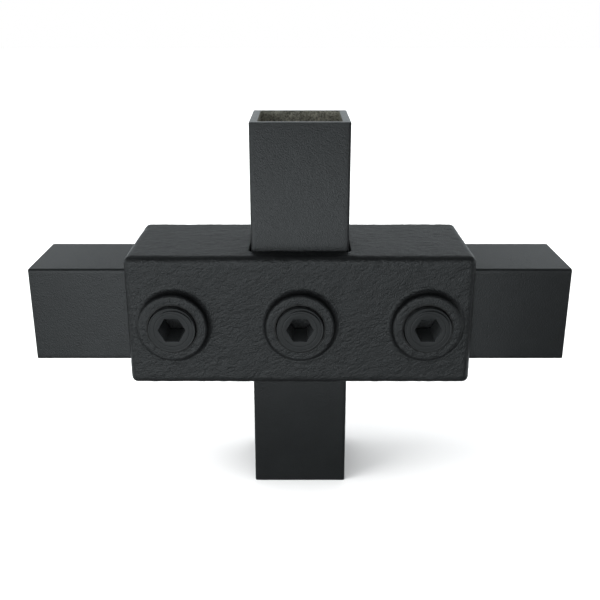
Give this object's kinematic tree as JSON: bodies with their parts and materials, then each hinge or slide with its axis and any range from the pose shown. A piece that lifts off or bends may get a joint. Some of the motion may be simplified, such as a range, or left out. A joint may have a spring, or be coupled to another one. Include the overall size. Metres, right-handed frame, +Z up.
{
  "type": "square tube cross fitting",
  "caption": "Black cast clamp fitting that crosses an upright square tube with side tubes, each held by a hexagon-socket set screw in a raised round boss.",
  "frame": {"origin": "centre of the casting's flat back face across its width, level with the side tubes' axis and straight behind the crossing of the tubes' axes, which is at Y = -16.5 mm", "axes": "+X along the side tubes to the right, +Y out of the casting's back face and away from the set screws, +Z up along the through tube"},
  "size_m": [0.14, 0.039, 0.0992],
  "materials": {
    "cast_coat": "black powder coat over an as-cast, slightly wrinkled skin",
    "tube_coat": "fine matt black powder coat on smooth drawn tube, bare and rough inside",
    "screw_coat": "black coated steel, slightly worn on the thread's crests"
  },
  "bodies": {
    "casting": {"casting": "cast_coat"},
    "through_tube": {"through_tube": "tube_coat"},
    "left_tube": {"left_tube": "tube_coat"},
    "right_tube": {"right_tube": "tube_coat"},
    "left_set_screw": {"left_set_screw": "screw_coat"},
    "centre_set_screw": {"centre_set_screw": "screw_coat"},
    "right_set_screw": {"right_set_screw": "screw_coat"}
  },
  "joints": [
    {"name": "through_tube_slide", "type": "slide", "parent": "casting", "child": "through_tube", "axis": [0, 0, 1], "range_m": [-0.03, 0.03]},
    {"name": "left_tube_slide", "type": "slide", "parent": "casting", "child": "left_tube", "axis": [-1, 0, 0], "range_m": [0, 0.027]},
    {"name": "right_tube_slide", "type": "slide", "parent": "casting", "child": "right_tube", "axis": [1, 0, 0], "range_m": [0, 0.027]},
    {"name": "left_screw_travel", "type": "slide", "parent": "casting", "child": "left_set_screw", "axis": [0, -1, 0], "range_m": [0, 0.0085]},
    {"name": "centre_screw_travel", "type": "slide", "parent": "casting", "child": "centre_set_screw", "axis": [0, -1, 0], "range_m": [0, 0.0085]},
    {"name": "right_screw_travel", "type": "slide", "parent": "casting", "child": "right_set_screw", "axis": [0, -1, 0], "range_m": [0, 0.0085]}
  ]
}
